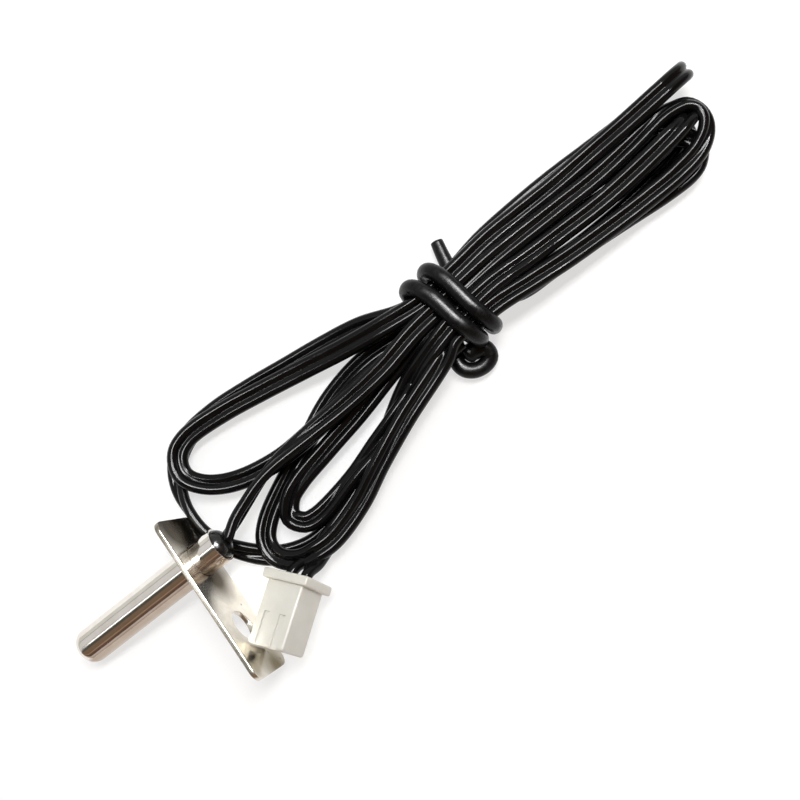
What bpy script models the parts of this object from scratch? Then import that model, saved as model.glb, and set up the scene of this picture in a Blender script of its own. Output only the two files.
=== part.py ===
"""Bead thermistor probe: a sealed metal sheath on a flat bracket, its two-core cable in a tied hank, and a
two-way connector housing. Metres, +Z up, the probe lying on the ground plane with its tip towards -X."""

import math

import bmesh
import bpy
from mathutils import Euler, Matrix, Vector

MM = 0.001

# Probe sheath
TUBE_RADIUS = 2.5 * MM
TUBE_WALL = 0.3 * MM
TUBE_LENGTH = 25.0 * MM
TIP_CORNER = 1.7 * MM

# Bracket plate
PLATE_LENGTH = 24.5 * MM
PLATE_WIDTH = 10.4 * MM
PLATE_THICKNESS = 0.7 * MM
PLATE_CORNER = 1.5 * MM
PLATE_FROM_TIP = 21.0 * MM
TUBE_FROM_PLATE_END = 6.85 * MM
SCREW_HOLE_RADIUS = 2.1 * MM
SCREW_FROM_PLATE_END = 7.3 * MM

# Pieces inside the sheath
FIT_GAP = 0.1 * MM
PIECE_GAP = 0.15 * MM
RESIN_LENGTH = 9.0 * MM
BEAD_RADIUS = 0.8 * MM
BEAD_LENGTH = 2.4 * MM
BEAD_FROM_TIP = 2.2 * MM
LEAD_RADIUS = 0.15 * MM
LEAD_SPACING = 1.1 * MM
LEAD_LENGTH = 6.6 * MM
SLEEVE_WALL = 0.17 * MM
SLEEVE_LENGTH = 5.2 * MM
SLEEVE_RADIUS = LEAD_RADIUS + FIT_GAP + SLEEVE_WALL
JOINT_RADIUS = 0.45 * MM
JOINT_LENGTH = 2.0 * MM
CONDUCTOR_RADIUS = 0.3 * MM
CONDUCTOR_LENGTH = 1.5 * MM
SEAL_DEPTH = 1.5 * MM
SEAL_BULGE = 1.4 * MM

# Cable
CORE_RADIUS = 0.75 * MM
CORE_CLEARANCE = 0.04 * MM
CABLE_SOLID_RADIUS = 0.95 * MM
CORD_GAP = 0.3 * MM
HANK_TOP = 7.1 * MM

# Tie
TIE_RADIUS = 1.1 * MM
TIE_GAP = 0.15 * MM
TIE_PITCH = 3.4 * MM
TIE_TURNS = 2
TIE_X = 71.9 * MM
WAIST_BOTTOM = 2 * TIE_RADIUS + TIE_GAP
WAIST_MIDDLE = 7.4 * MM
WAIST_HALF_WIDTH = 4.7 * MM
WAIST_HALF_LENGTH = 6.2 * MM
WAIST_X = 68.5 * MM
WAIST_POWER = 0.6

# Connector
BODY_SIZE = Vector((5.9, 5.0, 8.7)) * MM
FLANGE_SIZE = Vector((7.4, 6.2, 1.3)) * MM
HOUSING_LENGTH = 9.8 * MM
HOUSING_CORNER = 0.4 * MM
CAVITY_PITCH = 2.5 * MM
CAVITY_WIDTH = 1.8 * MM
CAVITY_HEIGHT = 2.6 * MM
GROOVE_WIDTH = 1.0 * MM
GROOVE_DEPTH = 0.35 * MM
GROOVE_LENGTH = 4.4 * MM
CONTACT_WIDTH = 1.5 * MM
CONTACT_HEIGHT = 2.1 * MM
CONTACT_SHEET = 0.2 * MM
CONTACT_START = 0.5 * MM
CONTACT_BOX = 3.6 * MM
CONTACT_LENGTH = 7.6 * MM
CRIMP_LENGTH = 1.7 * MM
CRIMP_HEIGHT = 1.3 * MM
HOUSING_PLACE = Vector((23.1, -15.6, 6.55)) * MM
HOUSING_TURN = Euler([math.radians(angle) for angle in (-103.0, -24.7, -46.0)])

# Routes of the cable's free stretches, in millimetres from the sheath's tip on the ground plane
LEAD_ROUTE = [(28.3, 0.8, 5.6), (29.3, 1.6, 5.1), (30.1, 2.4, 4.7)]
LOW_TURN_ROUTE = [
    (23.3, 11.4, 1.0), (23.1, 9.0, 1.0), (23.05, 6.5, 1.0), (23.3, 3.2, 1.0), (24.3, -0.2, 1.0),
    (25.6, -2.2, 1.0), (27.1, -3.7, 1.0),
]
FIRST_CORE_ROUTE = [(34.0, -8.1, 2.3), (32.6, -8.1, 2.9)]
SECOND_CORE_ROUTE = [(37.0, -8.9, 2.0), (35.2, -9.2, 3.1)]
HANK_OUTLINE = [
    (24.8, 10.0), (24.6, 13.4), (26.0, 16.6), (29.2, 18.3), (36.0, 18.8), (45.0, 17.9), (54.0, 16.0),
    (60.0, 14.4), (64.0, 13.5), (74.0, 13.5), (84.0, 14.6), (96.0, 16.0), (108.0, 16.7), (114.0, 16.6),
    (116.4, 15.0), (115.2, 12.8), (113.0, 11.2), (113.4, 8.4), (112.2, 5.6), (108.6, 2.9), (102.0, 1.5),
    (90.0, 1.8), (78.0, 1.6), (74.0, 2.1), (64.0, 2.1), (60.0, -0.4), (54.0, -2.9), (46.0, -6.0),
    (40.0, -7.7), (35.0, -7.1), (31.0, -5.2), (29.2, -2.9), (29.0, -0.4), (30.8, 1.5), (31.6, 3.4),
    (30.2, 5.2), (27.2, 7.2),
]
GAP_OUTLINE = [
    (28.6, 11.4), (31.6, 14.4), (38.0, 14.6), (46.0, 12.9), (52.0, 10.9), (46.0, 9.6), (40.0, 8.2),
    (33.0, 8.0),
]
TIE_STUB_ROUTE = [(73.2, 17.2, 1.1), (72.6, 14.6, 1.1), (72.1, 11.6, 1.1)]
TIE_END_ROUTE = [
    (65.6, 3.6, 1.1), (65.8, 1.6, 1.1), (65.9, 0.1, 1.1), (66.7, -1.1, 1.3), (68.1, -1.4, 1.6),
    (69.4, -0.9, 1.9),
]

SEGMENTS = 40

# The tilt that lets the tip and the plate's long edge both lie on the ground
TIP_ARM = TUBE_RADIUS - TIP_CORNER - PLATE_WIDTH / 2
PLATE_ARM = PLATE_FROM_TIP - TIP_CORNER - PLATE_THICKNESS / 2
TILT = math.atan2(PLATE_ARM, TIP_ARM) - math.acos(-TIP_CORNER / math.hypot(TIP_ARM, PLATE_ARM))
TIP_HEIGHT = TIP_CORNER + (TUBE_RADIUS - TIP_CORNER) * math.cos(TILT) - TIP_CORNER * math.sin(TILT)
PROBE_FRAME = Matrix.Translation((0, 0, TIP_HEIGHT)) @ Matrix.Rotation(math.pi / 2 - TILT, 4, "Y")

# The middle of the ground under the probe and its bracket is the model's origin
SEAL_END = TUBE_LENGTH + SEAL_BULGE
MIDDLE_Y = TUBE_FROM_PLATE_END - PLATE_LENGTH / 2


def clear_scene():
    for obj in list(bpy.data.objects):
        bpy.data.objects.remove(obj, do_unlink=True)


def new_collection(name):
    collection = bpy.data.collections.new(name)
    bpy.context.scene.collection.children.link(collection)
    return collection


def material(name, colour, roughness, metallic=0.0):
    made = bpy.data.materials.new(name)
    made.use_nodes = True
    shader = made.node_tree.nodes["Principled BSDF"]
    shader.inputs["Base Color"].default_value = (*colour, 1)
    shader.inputs["Roughness"].default_value = roughness
    shader.inputs["Metallic"].default_value = metallic
    return made


def place(obj, parent, look, collection):
    collection.objects.link(obj)
    obj.parent = parent
    if look:
        obj.data.materials.append(look)
    return obj


def shade_smooth(obj):
    for polygon in obj.data.polygons:
        polygon.use_smooth = True


def turned(name, profile, steps=SEGMENTS):
    """A solid of revolution round local Z. The profile runs down its outer side, from top to bottom."""
    mesh = bpy.data.meshes.new(name)
    shape = bmesh.new()
    points = [shape.verts.new((radius, 0, height)) for radius, height in profile]
    for start, end in zip(points, points[1:]):
        shape.edges.new((start, end))
    shape.to_mesh(mesh)
    shape.free()
    obj = bpy.data.objects.new(name, mesh)
    screw = obj.modifiers.new("Turn", "SCREW")
    screw.steps = steps
    screw.render_steps = steps
    screw.use_merge_vertices = True
    screw.merge_threshold = 1e-6
    screw.use_smooth_shade = True
    return obj


def block(name, size, centre, corner=0.0):
    mesh = bpy.data.meshes.new(name)
    shape = bmesh.new()
    bmesh.ops.create_cube(shape, size=1.0)
    bmesh.ops.scale(shape, vec=size, verts=shape.verts)
    bmesh.ops.translate(shape, vec=centre, verts=shape.verts)
    shape.to_mesh(mesh)
    shape.free()
    obj = bpy.data.objects.new(name, mesh)
    if corner:
        bevel = obj.modifiers.new("Corners", "BEVEL")
        bevel.width = corner
        bevel.segments = 3
    return obj


def prism(name, outline, bottom, top):
    """An upright solid over a closed outline."""
    mesh = bpy.data.meshes.new(name)
    shape = bmesh.new()
    face = shape.faces.new([shape.verts.new((x, y, bottom)) for x, y in outline])
    raised = bmesh.ops.extrude_face_region(shape, geom=[face])["geom"]
    corners = [item for item in raised if isinstance(item, bmesh.types.BMVert)]
    bmesh.ops.translate(shape, vec=(0, 0, top - bottom), verts=corners)
    bmesh.ops.recalc_face_normals(shape, faces=shape.faces)
    shape.to_mesh(mesh)
    shape.free()
    return bpy.data.objects.new(name, mesh)


def rod(name, points, radius):
    """A round tube with filled ends along a poly line."""
    curve = bpy.data.curves.new(name, "CURVE")
    curve.dimensions = "3D"
    curve.bevel_depth = radius
    curve.bevel_resolution = 2
    curve.use_fill_caps = True
    line = curve.splines.new("POLY")
    line.points.add(len(points) - 1)
    for corner, point in zip(line.points, points):
        corner.co = (*point, 1)
    line.use_smooth = True
    return bpy.data.objects.new(name, curve)


def smooth_line(points, pieces, closed=False):
    """Points of a smooth curve through the given ones, with so many steps from each to the next."""
    count = len(points)
    if closed:
        ringed = [points[-1], *points, points[0], points[1]]
    else:
        ringed = [points[0] * 2 - points[1], *points, points[-1] * 2 - points[-2]]
    line = []
    for index in range(count if closed else count - 1):
        before, start, end, after = ringed[index:index + 4]
        for step in range(pieces):
            t = step / pieces
            line.append(0.5 * (2 * start + (end - before) * t
                               + (2 * before - 5 * start + 4 * end - after) * t ** 2
                               + (3 * start - before - 3 * end + after) * t ** 3))
    return line if closed else [*line, points[-1]]


def in_metres(points):
    return [Vector(point) * MM for point in points]


def boolean(obj, other, operation):
    modifier = obj.modifiers.new(operation.title(), "BOOLEAN")
    modifier.object = other
    modifier.operation = operation
    modifier.solver = "EXACT"


def cut(obj, cutter, parent, cutters):
    place(cutter, parent, None, cutters)
    cutter.hide_render = True
    cutter.display_type = "WIRE"
    boolean(obj, cutter, "DIFFERENCE")


def join(obj, other, parent, cutters):
    place(other, parent, None, cutters)
    other.hide_render = True
    other.display_type = "WIRE"
    boolean(obj, other, "UNION")


def arc(centre, radius, start, end, steps):
    """Points of an arc, the angles in degrees."""
    angles = [math.radians(start + (end - start) * step / steps) for step in range(steps + 1)]
    return [(centre[0] + radius * math.cos(a), centre[1] + radius * math.sin(a)) for a in angles]


def probe_tube():
    bore = TUBE_RADIUS - TUBE_WALL
    inner_corner = TIP_CORNER - TUBE_WALL
    inner = arc((bore - inner_corner, TIP_CORNER), inner_corner, -90, 0, 6)
    outer = arc((TUBE_RADIUS - TIP_CORNER, TIP_CORNER), TIP_CORNER, 0, -90, 8)
    profile = [(0, TUBE_WALL), *inner, (bore, TUBE_LENGTH), (TUBE_RADIUS, TUBE_LENGTH), *outer, (0, 0)]
    return turned("probe_tube", profile)


def mounting_bracket(parent, cutters):
    """Its width lies along local X, its length along local Y, with the tube's axis on local Z."""
    half_width = PLATE_WIDTH / 2 - PLATE_CORNER
    near = TUBE_FROM_PLATE_END - PLATE_CORNER
    far = near + 2 * PLATE_CORNER - PLATE_LENGTH
    outline = [
        *arc((half_width, near), PLATE_CORNER, 0, 90, 6),
        *arc((-half_width, near), PLATE_CORNER, 90, 180, 6),
        *arc((-half_width, far), PLATE_CORNER, 180, 270, 6),
        *arc((half_width, far), PLATE_CORNER, 270, 360, 6),
    ]
    bottom = PLATE_FROM_TIP - PLATE_THICKNESS / 2
    top = PLATE_FROM_TIP + PLATE_THICKNESS / 2
    plate = prism("mounting_bracket", outline, bottom, top)
    screw_y = TUBE_FROM_PLATE_END - PLATE_LENGTH + SCREW_FROM_PLATE_END
    holes = (("tube_hole", TUBE_RADIUS + FIT_GAP, 0), ("screw_hole", SCREW_HOLE_RADIUS, screw_y))
    for name, radius, y in holes:
        ring = arc((0, y), radius, 0, 360 - 360 / SEGMENTS, SEGMENTS - 1)
        cut(plate, prism(name, ring, bottom - PLATE_THICKNESS, top + PLATE_THICKNESS), parent, cutters)
    return plate


def mouth_seal():
    inside = TUBE_RADIUS - TUBE_WALL - FIT_GAP
    dome = [(inside * math.cos(math.radians(a)), TUBE_LENGTH + SEAL_BULGE * math.sin(math.radians(a)))
            for a in range(75, 0, -15)]
    floor = TUBE_LENGTH - SEAL_DEPTH
    return turned("mouth_seal", [(0, SEAL_END), *dome, (inside, TUBE_LENGTH), (inside, floor), (0, floor)])


def tip_resin():
    outside = TUBE_RADIUS - TUBE_WALL - FIT_GAP
    corner = TIP_CORNER - TUBE_WALL - FIT_GAP
    bottom = TUBE_WALL + FIT_GAP
    well = max(BEAD_RADIUS, LEAD_SPACING / 2 + SLEEVE_RADIUS) + PIECE_GAP
    floor = BEAD_FROM_TIP - PIECE_GAP
    top = bottom + RESIN_LENGTH
    rounded = arc((outside - corner, bottom + corner), corner, 0, -90, 6)
    profile = [(0, floor), (well, floor), (well, top), (outside, top), *rounded, (0, bottom)]
    return turned("tip_resin", profile)


def thermistor_bead():
    middle = BEAD_FROM_TIP + BEAD_LENGTH / 2
    profile = [(BEAD_RADIUS * math.sin(math.radians(a)), middle + BEAD_LENGTH / 2 * math.cos(math.radians(a)))
               for a in range(15, 180, 15)]
    ends = (0, BEAD_FROM_TIP + BEAD_LENGTH), (0, BEAD_FROM_TIP)
    return turned("thermistor_bead", [ends[0], *profile, ends[1]], 24)


def inner_pieces():
    """The leads, sleeves, joints, conductors and core ends in pairs, each with its place beside the axis."""
    made = [(thermistor_bead(), 0)]
    lead_start = BEAD_FROM_TIP + BEAD_LENGTH + PIECE_GAP
    lead_end = lead_start + LEAD_LENGTH
    joint_start = lead_end + PIECE_GAP
    joint_end = joint_start + JOINT_LENGTH
    conductor_start = joint_end + PIECE_GAP
    conductor_end = conductor_start + CONDUCTOR_LENGTH
    core_start = conductor_end + PIECE_GAP
    core_end = TUBE_LENGTH - SEAL_DEPTH - PIECE_GAP
    bore = LEAD_RADIUS + FIT_GAP
    sleeve_start = lead_start + PIECE_GAP
    sleeve_end = sleeve_start + SLEEVE_LENGTH
    core_offset = CORE_RADIUS + CORE_CLEARANCE
    for letter, side in (("a", 1), ("b", -1)):
        for name, radius, start, end, offset in (
            ("bead_lead_", LEAD_RADIUS, lead_start, lead_end, LEAD_SPACING / 2),
            ("solder_joint_", JOINT_RADIUS, joint_start, joint_end, core_offset),
            ("conductor_end_", CONDUCTOR_RADIUS, conductor_start, conductor_end, core_offset),
            ("core_end_", CORE_RADIUS, core_start, core_end, core_offset),
        ):
            profile = [(0, end), (radius, end), (radius, start), (0, start)]
            made.append((turned(name + letter, profile, 16), side * offset))
        ring = [(bore, sleeve_start), (bore, sleeve_end), (SLEEVE_RADIUS, sleeve_end),
                (SLEEVE_RADIUS, sleeve_start), (bore, sleeve_start)]
        made.append((turned("lead_sleeve_" + letter, ring, 16), side * LEAD_SPACING / 2))
    return made


def waist_ring(offset, angle):
    """A point (y, z) beside the hank's waist, that far outside its skin. Angle 0 is the lowest point."""
    across = -math.sin(angle)
    upward = -math.cos(angle)
    half_height = (HANK_TOP - WAIST_BOTTOM) / 2
    y = WAIST_HALF_WIDTH * math.copysign(abs(across) ** WAIST_POWER, across)
    z = half_height * math.copysign(abs(upward) ** WAIST_POWER, upward)
    lean_y = math.copysign(abs(across) ** (2 - WAIST_POWER), across) / WAIST_HALF_WIDTH
    lean_z = math.copysign(abs(upward) ** (2 - WAIST_POWER), upward) / half_height
    outward = Vector((lean_y, lean_z)).normalized() * offset
    return WAIST_MIDDLE + y + outward.x, WAIST_BOTTOM + half_height + z + outward.y


def cable_hank(parent, cutters):
    """The hank's outer shape, with its waist drawn in where the tie goes round it."""
    outline = [tuple(p) for p in smooth_line(in_metres(HANK_OUTLINE), 3, closed=True)]
    hank = prism("cable_hank", outline, 0, HANK_TOP)
    opening = [tuple(p) for p in smooth_line(in_metres(GAP_OUTLINE), 3, closed=True)]
    cut(hank, prism("hank_gap", opening, -MM, HANK_TOP + MM), parent, cutters)
    size = (2 * WAIST_HALF_LENGTH, 6 * WAIST_HALF_WIDTH, 4 * HANK_TOP)
    cut(hank, block("tie_groove", size, (WAIST_X, WAIST_MIDDLE, 0)), parent, cutters)
    section = [waist_ring(0, 2 * math.pi * step / 32) for step in range(32)]
    reach = WAIST_HALF_LENGTH + 2 * MM
    waist = prism("hank_waist", section, WAIST_X - reach, WAIST_X + reach)
    waist.rotation_euler = (math.pi / 2, 0, math.pi / 2)
    join(hank, waist, parent, cutters)
    return hank


def hank_tie():
    """Two turns round the hank's waist, from a stub on one side to a bent end on the other."""
    steps = 16
    turns = []
    for step in range(1, TIE_TURNS * steps):
        turn, part = divmod(step / steps, 1)
        share = min(max((part - 0.15) / 0.7, 0), 1)
        x = TIE_X - TIE_PITCH * (turn + share ** 2 * (3 - 2 * share))
        y, z = waist_ring(TIE_RADIUS + TIE_GAP, 2 * math.pi * part)
        turns.append(Vector((x, y, z)))
    line = [*in_metres(TIE_STUB_ROUTE), *turns, *in_metres(TIE_END_ROUTE)]
    return rod("hank_tie", line, TIE_RADIUS)


def connector_housing(parent, cutters):
    """Its length lies along local Z, from the mating end at 0 to the wire side."""
    housing = block("connector_housing", BODY_SIZE, (0, 0, BODY_SIZE.z / 2), HOUSING_CORNER)
    flange_middle = HOUSING_LENGTH - FLANGE_SIZE.z / 2
    flange = block("housing_flange", FLANGE_SIZE, (0, 0, flange_middle), HOUSING_CORNER / 2)
    join(housing, flange, parent, cutters)
    for side in (-1, 1):
        x = side * CAVITY_PITCH / 2
        through = (CAVITY_WIDTH, CAVITY_HEIGHT, 2 * HOUSING_LENGTH)
        cut(housing, block("cavity", through, (x, 0, HOUSING_LENGTH / 2)), parent, cutters)
        slot = (GROOVE_WIDTH, 2 * GROOVE_DEPTH, 2 * GROOVE_LENGTH)
        cut(housing, block("groove", slot, (x, -BODY_SIZE.y / 2, 0)), parent, cutters)
    return housing


def contact(name, side, parent, cutters):
    """A folded sheet box for the pin, a strip behind it and a crimp for the core."""
    x = side * CAVITY_PITCH / 2
    middle = CONTACT_START + CONTACT_BOX / 2
    made = block(name, (CONTACT_WIDTH, CONTACT_HEIGHT, CONTACT_BOX), (x, 0, middle))
    inside = (CONTACT_WIDTH - 2 * CONTACT_SHEET, CONTACT_HEIGHT - 2 * CONTACT_SHEET, 2 * CONTACT_BOX)
    cut(made, block("contact_bore", inside, (x, 0, middle)), parent, cutters)
    strip_y = (CONTACT_HEIGHT - CONTACT_SHEET) / 2
    strip_size = (CONTACT_WIDTH * 0.8, CONTACT_SHEET, CONTACT_LENGTH - CONTACT_SHEET)
    strip_middle = CONTACT_START + CONTACT_SHEET + strip_size[2] / 2
    join(made, block("contact_strip", strip_size, (x, strip_y, strip_middle)), parent, cutters)
    for wing in (-1, 1):
        wing_x = x + wing * (strip_size[0] - CONTACT_SHEET) / 2
        wing_y = CONTACT_HEIGHT / 2 - CRIMP_HEIGHT / 2
        wing_z = CONTACT_START + CONTACT_LENGTH - CRIMP_LENGTH / 2 - CONTACT_SHEET
        size = (CONTACT_SHEET, CRIMP_HEIGHT, CRIMP_LENGTH)
        join(made, block("crimp_wing", size, (wing_x, wing_y, wing_z)), parent, cutters)
    return made


def core_line(route, side, housing_frame):
    """From the hank into a cavity, where the core ends behind its contact."""
    x = side * CAVITY_PITCH / 2
    inner_end = CONTACT_START + CONTACT_LENGTH + PIECE_GAP
    heights = (HOUSING_LENGTH + 2 * CORE_RADIUS, HOUSING_LENGTH, inner_end)
    entry = [housing_frame @ Vector((x, 0, height)) for height in heights]
    return smooth_line([*in_metres(route), *entry], 2)


def main():
    clear_scene()
    parts = new_collection("bead_thermistor")
    cutters = new_collection("cutters")
    cutters.hide_render = True

    nickel = material("polished nickel plate", (0.72, 0.70, 0.67), 0.12, 1.0)
    resin = material("black epoxy", (0.012, 0.012, 0.013), 0.2)
    filler = material("grey heat resin", (0.25, 0.25, 0.26), 0.6)
    bead = material("glass bead", (0.05, 0.06, 0.08), 0.1)
    tin = material("tinned copper", (0.6, 0.58, 0.55), 0.3, 1.0)
    copper = material("copper strand", (0.72, 0.36, 0.2), 0.35, 1.0)
    sleeve = material("amber sleeve", (0.45, 0.2, 0.04), 0.4)
    vinyl = material("black vinyl", (0.012, 0.012, 0.013), 0.3)
    rubber = material("black tie coating", (0.02, 0.02, 0.021), 0.4)
    nylon = material("ivory nylon", (0.76, 0.74, 0.66), 0.4)

    ground = bpy.data.objects.new("ground_frame", None)
    parts.objects.link(ground)
    tube_end_x = TUBE_LENGTH * math.cos(TILT) + (SEAL_BULGE * math.cos(TILT))
    ground.location = (-tube_end_x / 2, -MIDDLE_Y, 0)

    probe = bpy.data.objects.new("probe_frame", None)
    parts.objects.link(probe)
    probe.parent = ground
    probe.matrix_local = PROBE_FRAME

    place(probe_tube(), probe, nickel, parts)
    place(mounting_bracket(probe, cutters), probe, nickel, parts)
    place(mouth_seal(), probe, resin, parts)
    place(tip_resin(), probe, filler, parts)
    looks = {"thermistor": bead, "bead": tin, "solder": tin, "conductor": copper, "core": vinyl, "lead": sleeve}
    for piece, offset in inner_pieces():
        place(piece, probe, looks[piece.name.split("_")[0]], parts)
        piece.location.y = offset

    exit_heights = (SEAL_END + CORD_GAP, SEAL_END + CORD_GAP + CORE_RADIUS)
    exit_points = [PROBE_FRAME @ Vector((0, 0, height)) for height in exit_heights]
    lead = smooth_line([*exit_points, *in_metres(LEAD_ROUTE)], 2)
    place(rod("cable_lead", lead, CABLE_SOLID_RADIUS), ground, vinyl, parts)
    low_turn = smooth_line(in_metres(LOW_TURN_ROUTE), 2)
    place(rod("cable_low_turn", low_turn, CABLE_SOLID_RADIUS), ground, vinyl, parts)
    place(cable_hank(ground, cutters), ground, vinyl, parts)
    place(hank_tie(), ground, rubber, parts)

    housing = bpy.data.objects.new("housing_frame", None)
    parts.objects.link(housing)
    housing.parent = ground
    housing.location = HOUSING_PLACE
    housing.rotation_euler = HOUSING_TURN
    housing_frame = Matrix.Translation(HOUSING_PLACE) @ HOUSING_TURN.to_matrix().to_4x4()
    place(connector_housing(housing, cutters), housing, nylon, parts)
    for letter, side, route in (("a", -1, FIRST_CORE_ROUTE), ("b", 1, SECOND_CORE_ROUTE)):
        place(contact("contact_" + letter, side, housing, cutters), housing, tin, parts)
        line = core_line(route, side, housing_frame)
        place(rod("core_tail_" + letter, line, CORE_RADIUS), ground, vinyl, parts)

    for obj in parts.objects:
        if obj.type == "MESH":
            shade_smooth(obj)


main()
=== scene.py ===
"""The looks of a bead thermistor probe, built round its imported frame. Metres, +Z up.

Its sizes repeat those of the CAD source: millimetres here, turned into metres where a mesh is made."""

import math

import bmesh
import bpy
import numpy as np
from mathutils import Euler, Matrix, Vector

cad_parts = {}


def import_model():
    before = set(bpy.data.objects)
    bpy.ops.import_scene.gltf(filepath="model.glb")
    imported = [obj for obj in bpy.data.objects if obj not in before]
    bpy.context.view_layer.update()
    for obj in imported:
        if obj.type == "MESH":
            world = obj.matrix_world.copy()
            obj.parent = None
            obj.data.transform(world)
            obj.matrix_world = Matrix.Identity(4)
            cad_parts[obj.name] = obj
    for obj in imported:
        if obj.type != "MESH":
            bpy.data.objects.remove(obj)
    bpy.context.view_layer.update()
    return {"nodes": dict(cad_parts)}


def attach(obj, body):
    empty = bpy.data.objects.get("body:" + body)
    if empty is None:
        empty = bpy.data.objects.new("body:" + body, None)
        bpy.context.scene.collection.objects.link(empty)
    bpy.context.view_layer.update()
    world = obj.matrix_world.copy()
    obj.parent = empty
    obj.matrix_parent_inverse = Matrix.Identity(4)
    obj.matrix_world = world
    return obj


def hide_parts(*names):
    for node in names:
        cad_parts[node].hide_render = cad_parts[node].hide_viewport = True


MM = 0.001

# Where the sheath's tip stands on the ground plane, and the probe's own frame there
GROUND = Vector((-13.07, 5.4, 0.0))
TIP_HEIGHT = 2.2538
TILT = math.radians(8.0587)

# Probe sheath, bracket and seal
TUBE_RADIUS = 2.5
TUBE_WALL = 0.3
TUBE_LENGTH = 25.0
TIP_CORNER = 1.7
RIM_ROUND = 0.08
PLATE_LENGTH = 24.5
PLATE_WIDTH = 10.4
PLATE_THICKNESS = 0.7
PLATE_CORNER = 1.5
PLATE_FROM_TIP = 21.0
PLATE_EDGE_ROUND = 0.14
TUBE_FROM_PLATE_END = 6.85
SCREW_HOLE_RADIUS = 2.1
SCREW_FROM_PLATE_END = 7.3
SEAL_BULGE = 1.4
SEAL_DEPTH = 1.0
SEAL_FIT = 0.02
SEAL_SINK = 0.1
PLATE_FIT = 0.03
HOLE_SIDES = 64

# Cable: its two cores, its whole length in metres, and the longest step between its drawn rings
CORE_SPACING = 1.48
CORE_RADIUS = 0.75
SPLIT_RADIUS = 0.8
SPLIT_STEP = 0.3
CABLE_STEP = 0.8

# Tie
TIE_RADIUS = 1.15
TIE_OFFSET = 1.2
TIE_END_RADIUS = 1.35
TIE_TURNS = 2
TIE_STEP = 0.35
TIE_STUB_RINGS = 16
TIE_STUB_THIN = 0.8
TIE_END_RINGS = 8
TIE_END_ROUNDING = (0.88, 0.6)
# Where the wire is along the hank, at each quarter of its turns
TIE_QUARTERS = (71.9, 71.9, 70.3, 68.6, 69.0, 69.3, 67.5, 65.2, 65.2)
WAIST_BOTTOM = 2.35
WAIST_TOP = 7.1
WAIST_MIDDLE = 7.4
WAIST_HALF_WIDTH = 4.7
WAIST_X = 68.5
WAIST_LEAN = 0.13
WAIST_POWER = 0.6

# Connector
BODY_SIZE = Vector((5.9, 5.0, 8.7))
FLANGE_SIZE = Vector((7.4, 6.2, 1.3))
HOUSING_LENGTH = 9.8
CAVITY_PITCH = 2.5
CAVITY_SIZE = (1.8, 2.6)
GROOVE_WIDTH = 1.0
GROOVE_DEPTH = 0.35
GROOVE_LENGTH = 4.4
RECESS_DEPTH = 0.5
RECESS_RIM = 0.55
BODY_ROUND = 0.4
FLANGE_ROUND = 0.3
CAVITY_ROUND = 0.08
HOUSING_PLACE = Vector((23.1, -15.6, 6.55))
HOUSING_TURN = Euler([math.radians(angle) for angle in (-103.0, -24.7, -46.0)])
CORE_END_HEIGHT = 8.25
WIRE_STRAIGHT = 0.6
SHARP_ANGLE = 40

# Camera: where it stands, its own axes, and its lens on a sensor 36 mm wide
CAMERA_PLACE = Vector((42.306, -14.258, 122.82))
CAMERA_RIGHT = Vector((0.80195, -0.58833, -0.10363))
CAMERA_UP = Vector((0.59739, 0.78937, 0.14147))
CAMERA_BACK = Vector((-0.00143, -0.17536, 0.98450))
LENS = 39.85
SENSOR_WIDTH = 36

# Painted reflections and shade on the bracket, dark patches where the cable, the sheath and the connector
# darken the plate: the middle, the radii where each is full and gone, and its colour
PAINTED_REFLECTIONS_AND_SHADE = (
    (Vector((7.5, 10.8, 6.5)), 2.4, 6.0, "#574e3e"), (Vector((7.8, 2.4, 4.4)), 1.4, 4.4, "#5f5340"),
    (Vector((7.9, -11.8, 3.5)), 0.8, 4.6, "#8c8164"),
)

# Lights overhead: x, size along x and y, watts, and whether each shines or is only seen in reflections
LIGHT_Y = 100
LIGHT_Z = 500
LIGHTS = {
    "key": (195, 310, 120, 1.8, True),
    "sheath_glint": (-260, 400, 50, 0.14, False),
    "cable_glint": (235, 250, 100, 15.0, False),
    "loop_glint": (0, 220, 80, 2.6, False),
}
FLOOR_HALF_SIZE = 900
FLOOR_DROP = 0.02
FLOOR_GLOW = 0.65

# The room's colours by their lean from overhead across the sheath, in degrees
ROOM = [
    (-90, "#cfc4bc"), (-71, "#c8bab2"), (-68, "#57453a"), (-52, "#6d5544"), (-46, "#a98d75"),
    (-42, "#755f4e"), (-16, "#7a6452"), (-10, "#504e46"), (0, "#4c4b45"), (5, "#8a8a86"),
    (25, "#dcdbd9"), (58, "#dcdbd9"), (61, "#77756e"), (64, "#dcdbd6"), (90, "#dcdbd6"),
]

# How the cable settles: the rings that carry it, the rounds, and the share of each move that a round makes
ROUTE_STEP = 0.2
RING_STEP = 1.0
RING_GIVE = 0.3
SETTLE_ROUNDS = 900
PUSH_ROUNDS = 5
BEND_SHARE = 0.25
LONG_BEND_SHARE = 0.05
STRETCH_SHARE = 0.25
FIRST_PULL = 0.075
LAST_PULL = 0.015
HEIGHT_PULL = 0.6
LEAN_PULL = 0.35
PUSH_SHARE = 0.4
PROBE_PUSH_SHARE = 0.8

# How near two cores come, alone and pressed by the tie, and how far off a pair is watched
TOUCH = 1.49
TOUCH_PRESSED = 0.1
TWIN_PRESSED = 0.08
PRESS_REACH = 5.0
WATCH = 2.0
NEIGHBOURS = 4
UPRIGHT = 0.35

# The room inside the tie, its rounded corners' power, and how it opens on either side
BUNDLE_MIDDLE = 7.35
SQUEEZE = 0.22
SQUEEZE_REACH = 6.0
HELD_REACH = 7.5
HELD_STRAIGHT = 2.9
HELD_HALF_WIDTH = 4.95
HELD_ROOM = 0.05
HELD_CORNERS = 3.6
WIDTH_OPENS = 0.14
HEIGHT_OPENS = 0.05

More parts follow.
